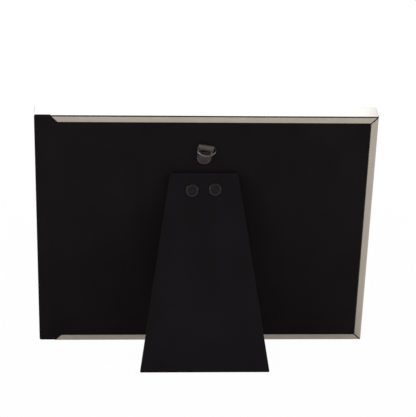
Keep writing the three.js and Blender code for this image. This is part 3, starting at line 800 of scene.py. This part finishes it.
def make_panel():
    """The board that runs under the lips and the velvet that covers it."""
    inset = WALL + SIDE_GAP
    outline = box_outline(-END + inset, inset, END - WRAP - SIDE_GAP, HEIGHT - inset)
    bm = slab(outline, BOARD_UNDER, BOARD_TOP)
    round_edges(bm, bm.edges[:], BOARD_EASE, steps=2)
    even_shading(finished(
        bm, "panel_board_core", FRAME_PLACE, "back_panel", BOARD, "panel_board",
    ))

    inner = LIP_WIDTH + SIDE_GAP
    neck = END - TAB_WIDTH
    low, high = TAB_INSET, HEIGHT - TAB_INSET
    bm = slab([
        (-END + inner, inner), (neck - inner, inner), (neck - low, low), (END, low),
        (END, high), (neck - low, high), (neck - inner, HEIGHT - inner), (-END + inner, HEIGHT - inner),
    ], VELVET_UNDER, VELVET_TOP)
    corners = edges_at(bm, x=END, z=low) + edges_at(bm, x=END, z=high)
    round_edges(bm, corners, TAB_CORNER, steps=6)
    split(bm, (END - WRAP, 0, 0), (1, 0, 0))
    for level in (inset, HEIGHT - inset):
        split(bm, (0, 0, level), (0, 0, 1))
    strip = next(
        face for face in bm.faces
        if face.normal.y < -0.9 and face.calc_center_median().x > END - WRAP
        and inset < face.calc_center_median().z < HEIGHT - inset
    )
    push(bm, strip, (0, BOARD_UNDER - VELVET_UNDER, 0))
    bmesh.ops.dissolve_limit(bm, angle_limit=FLAT, verts=bm.verts, edges=bm.edges)
    round_edges(bm, edges_at(bm, y=VELVET_TOP), VELVET_EASE, steps=4)
    cover = finished(
        bm, "panel_velvet_cover", FRAME_PLACE, "back_panel", VELVET, "panel_velvet",
    )
    even_shading(cover)


def make_leg():
    """Velvet wrapped round the leg's board, with the paper lining left in its open side."""
    foot = -hinge.z / MM / math.cos(LEG_TILT)
    lowest = foot - LEG_OUTSIDE * math.tan(LEG_TILT)
    flare = (LEG_FOOT_WIDTH - LEG_TOP_WIDTH) / 2 / (LEG_TOP - lowest)
    beyond = foot - LEG_SPARE
    top_half = LEG_TOP_WIDTH / 2
    beyond_half = top_half + (LEG_TOP - beyond) * flare
    bm = slab([
        (-beyond_half, beyond), (beyond_half, beyond), (top_half, LEG_TOP), (-top_half, LEG_TOP),
    ], LEG_INSIDE, LEG_OUTSIDE)
    cut_off(bm, (0, 0, foot), (0, -math.sin(LEG_TILT), -math.cos(LEG_TILT)))
    thick = LEG_OUTSIDE - LEG_INSIDE
    uprights = [edge for edge in bm.edges if abs(edge.verts[0].co.y - edge.verts[1].co.y) > thick - NEAR]
    round_edges(bm, uprights, LEG_CORNER, steps=4)
    inside = min(bm.faces, key=lambda face: face.calc_center_median().y)
    bmesh.ops.inset_region(bm, faces=[inside], thickness=LEG_VELVET, use_even_offset=True)
    push(bm, inside, (0, thick - LEG_VELVET, 0))
    round_edges(bm, edges_at(bm, y=LEG_OUTSIDE), LEG_EASE, steps=5)
    cover = finished(
        bm, "leg_velvet_cover", LEG_PLACE, "easel_leg", VELVET, "leg_velvet",
    )
    even_shading(cover)


def leaf_sheet(level, stops, rolled):
    """Sheet-metal hinge leaf in spans between stops, with knuckles rolled round the pin on some of them."""
    bm = bmesh.new()
    way = 1 if level < 0 else -1
    for i, (x0, x1) in enumerate(zip(stops, stops[1:])):
        foot, shoulder = [bm.verts.new((x0, level, z)) for z in (LEAF_FOOT, LEAF_SHOULDER)]
        bm.edges.new((foot, shoulder))
        if i in rolled:
            axis = bm.verts.new((x0, level, 0))
            bm.edges.new((shoulder, axis))
            bmesh.ops.spin(
                bm, geom=[axis], cent=(x0, 0, 0), axis=(1, 0, 0), angle=-way * KNUCKLE_CURL, steps=20,
            )
        strip = [edge for edge in bm.edges if edge.is_wire]
        made = bmesh.ops.extrude_edge_only(bm, edges=strip)
        bmesh.ops.translate(bm, vec=(x1 - x0, 0, 0), verts=verts_of(made))
    bmesh.ops.remove_doubles(bm, verts=bm.verts, dist=MERGE)
    return bm


def make_hinge():
    """Two leaves with interlocking knuckles, the pin through them and the rivets that hold them."""
    gap = KNUCKLE_HALF + KNUCKLE_GAP
    for name, level, half, rolled, place, body in (
        ("hinge_back_leaf", -LEAF_MIDDLE, gap, (0, 2), HINGE_PLACE, "back_panel"),
        ("hinge_leg_leaf", LEAF_MIDDLE, KNUCKLE_HALF, (1,), LEG_PLACE, "easel_leg"),
    ):
        bm = leaf_sheet(level, [-LEAF_HALF, -half, half, LEAF_HALF], rolled)
        leaf = finished(bm, name + "_rolled", place, body, PAINT, name)
        thickened(leaf, LEAF, LEAF_EASE)

    shaft = LEAF_HALF - PIN_CHAMFER
    tip = PIN_RADIUS - PIN_CHAMFER
    bm = turned([
        (0, -LEAF_HALF), (tip, -LEAF_HALF), (PIN_RADIUS, -shaft),
        (PIN_RADIUS, shaft), (tip, LEAF_HALF), (0, LEAF_HALF),
    ], steps=24)
    across = Matrix.Rotation(math.pi / 2, 4, "Z")
    finished(bm, "hinge_pin_turned", HINGE_PLACE @ across, "back_panel", STEEL, "hinge_pin")

    for i, (x, z) in enumerate(LEAF_RIVETS, 1):
        bm = turned(LEAF_RIVET, steps=40)
        place = HINGE_PLACE @ Matrix.Translation((x, 0, z))
        name = f"leaf_rivet_{i}"
        finished(bm, name + "_domed", place, "back_panel", STEEL, name)
    for i, (x, z) in enumerate(LEG_RIVETS, 1):
        bm = turned(LEG_RIVET)
        place = LEG_PLACE @ Matrix.Translation((x, 0, z))
        name = f"leg_rivet_{i}"
        finished(bm, name + "_dished", place, "easel_leg", PAINT, name)


def make_hanger_rivet():
    """Disc-headed rivet whose head leans on its stem."""
    bm = turned(HANGER_RIVET, steps=72)
    for vert in bm.verts:
        if vert.co.y > HEAD_UNDER - NEAR:
            vert.co.y += vert.co.z * math.tan(HEAD_TILT)
            vert.co.z -= HEAD_DROP
    finished(
        bm, "hanger_rivet_domed", HANGER_PLACE, "back_panel", RIVET_PLATE, "hanger_rivet",
    )


def make_strap():
    """Strip of plate folded over the ring's bar, trimmed at its foot and bored for the rivet."""
    bm = bmesh.new()
    layer = (STRAP + LAYER_GAP) / 2
    under = [
        bm.verts.new((-STRAP_HALF, y, z))
        for y, z in ((layer, STRAP_BLANK), (layer, STRAP_RISE), (FOLD_MIDDLE - FOLD_RADIUS, STRAP_FOLD))
    ]
    over = [bm.verts.new((-STRAP_HALF, 3 * layer, z)) for z in (STRAP_FLAT, STRAP_BLANK)]
    bmesh.ops.spin(
        bm, geom=[under[-1]], cent=(-STRAP_HALF, FOLD_MIDDLE, STRAP_FOLD), axis=(1, 0, 0),
        angle=-math.pi, steps=14,
    )
    over.insert(0, max(bm.verts, key=lambda vert: vert.co.y))
    for pair in [*zip(under, under[1:]), *zip(over, over[1:])]:
        bm.edges.new(pair)
    made = bmesh.ops.extrude_edge_only(bm, edges=bm.edges[:])
    bmesh.ops.translate(bm, vec=(2 * STRAP_HALF, 0, 0), verts=verts_of(made))
    round_edges(bm, edges_at(bm, z=STRAP_FLAT), STRAP_FLAT_ROUND, steps=4)
    for side in (-1, 1):
        for x, z, slope in STRAP_TRIMS:
            cut_off(bm, (side * x, 0, z), (side, 0, -slope), close=False)
    cut_off(bm, (0, 0, STRAP_FOOT), (0, 0, -1), close=False)

    # The bore is a square with its four corners cut, scored through both layers
    for turn, reach in ((0, STRAP_HALF), (45, STRAP_HOLE)):
        for quarter in range(4):
            angle = math.radians(90 * quarter + turn)
            way = Vector((math.sin(angle), 0, math.cos(angle)))
            near = [face for face in bm.faces if face.calc_center_median().xz.length < reach]
            split(bm, way * STRAP_HOLE, way, near)
    bore = [face for face in bm.faces if face.calc_center_median().xz.length < STRAP_HOLE / 2]
    bmesh.ops.delete(bm, geom=bore, context="FACES")
    bmesh.ops.remove_doubles(bm, verts=bm.verts, dist=MERGE)
    strap = finished(
        bm, "hanger_strap_folded", HANGER_PLACE, "strap", STRAP_PLATE, "hanger_strap",
    )
    thickened(strap, STRAP, STRAP_EASE)


def make_ring():
    """Wire bent into a D, with its bow turned a little against its bar."""
    bm = swept_wire(WIRE, [
        (RING_BAR_HALF, RING_CORNER), (RING_ARM, RING_SHOULDER), (0, RING_BOW),
        (0, RING_SHOULDER), (RING_ARM, RING_CORNER), (RING_BAR_HALF, None),
    ])
    for vert in bm.verts:
        share = min(max((-vert.co.z - WIRE) / RING_BEND, 0), 1)
        eased = share * share * (3 - 2 * share)
        vert.co.rotate(Matrix.Rotation(RING_TURN * eased, 3, "Y"))
    finished(
        bm, "hanger_ring_wire", RING_PLACE, "ring", RING_WIRE, "hanger_ring", crease=60,
    )


def dress_kept_nodes():
    """Finishes for the solids that are shown as they are: keys, screws, leg board and lining."""
    for name, finish in (
        *((f"corner_key_{i}", ZINC) for i in range(1, 5)),
        *((f"set_screw_{i}", STEEL) for i in range(1, 9)),
        ("leg_core", BOARD),
        ("leg_lining", LINING),
    ):
        mesh = nodes[name].data
        mesh.materials.clear()
        mesh.materials.append(finish)


def seen_directly(tree, path):
    """1 where the camera looks, also through the glass, and 0 for other rays."""
    return combined(tree, "MAXIMUM", path.outputs["Is Camera Ray"], path.outputs["Is Transmission Ray"])


def make_floor():
    """Pale floor: almost white with a faint shadow for the camera, and mostly as it is lit in metal."""
    bm = bmesh.new()
    bmesh.ops.create_grid(bm, x_segments=1, y_segments=1, size=FLOOR_HALF)
    mesh = bpy.data.meshes.new("studio_floor")
    bm.to_mesh(mesh)
    bm.free()
    floor = bpy.data.objects.new("studio_floor", mesh)
    scene.collection.objects.link(floor)

    material = bpy.data.materials.new("white_floor")
    material.use_nodes = True
    mesh.materials.append(material)
    tree = material.node_tree
    tree.nodes.clear()
    distance = add_node(tree, "VectorMath", {0: object_place(tree)}, operation="LENGTH")
    shown = spread(tree, distance.outputs["Value"], *FLOOR_SHOWN, *FLOOR_FADE)
    path = add_node(tree, "LightPath")
    seen_share = combined(tree, "MULTIPLY", seen_directly(tree, path), shown)
    mirrored_share = combined(tree, "MULTIPLY", path.outputs["Is Glossy Ray"], FLOOR_MIRRORED)
    lit = add_node(tree, "BsdfDiffuse", {"Color": FLOOR_PAPER})
    white = add_node(tree, "Emission", {"Color": WHITE, "Strength": 1.0})
    mixed = add_node(tree, "MixShader", {
        0: combined(tree, "MAXIMUM", seen_share, mirrored_share),
        1: lit.outputs["BSDF"],
        2: white.outputs["Emission"],
    })
    add_node(tree, "OutputMaterial", {"Surface": mixed.outputs["Shader"]})


def make_surround():
    """White backdrop; in metal it fades from white on the backdrop's side to dark on the camera's side."""
    world = bpy.data.worlds.new("studio_surround")
    scene.world = world
    world.use_nodes = True
    tree = world.node_tree
    tree.nodes.clear()
    direction = add_node(tree, "TexCoord").outputs["Generated"]
    way = add_node(tree, "SeparateXYZ", {"Vector": direction})
    mirrored = spread(tree, way.outputs["Y"], *SURROUND_MIRRORED, *SURROUND_FADE)
    path = add_node(tree, "LightPath")
    unseen = between(tree, path.outputs["Is Glossy Ray"], SURROUND_FILL, mirrored)
    strength = between(tree, seen_directly(tree, path), unseen, 1.0)
    sky = add_node(tree, "Background", {"Color": WHITE, "Strength": strength})
    add_node(tree, "OutputWorld", {"Surface": sky.outputs["Background"]})


def make_lamps():
    for name, place, aim, size, radiance, colour in LAMPS:
        lamp = bpy.data.lights.new(name, "AREA")
        lamp.shape = "RECTANGLE"
        lamp.color = colour
        lamp.size, lamp.size_y = size
        lamp.energy = radiance * math.pi * size[0] * size[1]
        holder = bpy.data.objects.new(name, lamp)
        holder.location = place
        holder.rotation_euler = (Vector(aim) - Vector(place)).to_track_quat("-Z", "Y").to_euler()
        holder.visible_camera = False
        holder.visible_glossy = name != UNMIRRORED_LAMP
        scene.collection.objects.link(holder)


def make_camera():
    view = bpy.data.cameras.new("photo_view")
    view.sensor_fit = "AUTO"
    view.sensor_width = 36.0
    view.lens = CAMERA_LENS
    camera = bpy.data.objects.new("photo_view", view)
    camera.location = CAMERA_PLACE
    camera.rotation_euler = [math.radians(angle) for angle in CAMERA_TURN]
    scene.collection.objects.link(camera)
    scene.camera = camera


scene.view_settings.view_transform = "Standard"
make_camera()
make_rails()
make_stack()
make_panel()
make_leg()
make_hinge()
make_hanger_rivet()
make_strap()
make_ring()
dress_kept_nodes()
make_floor()
make_surround()
make_lamps()
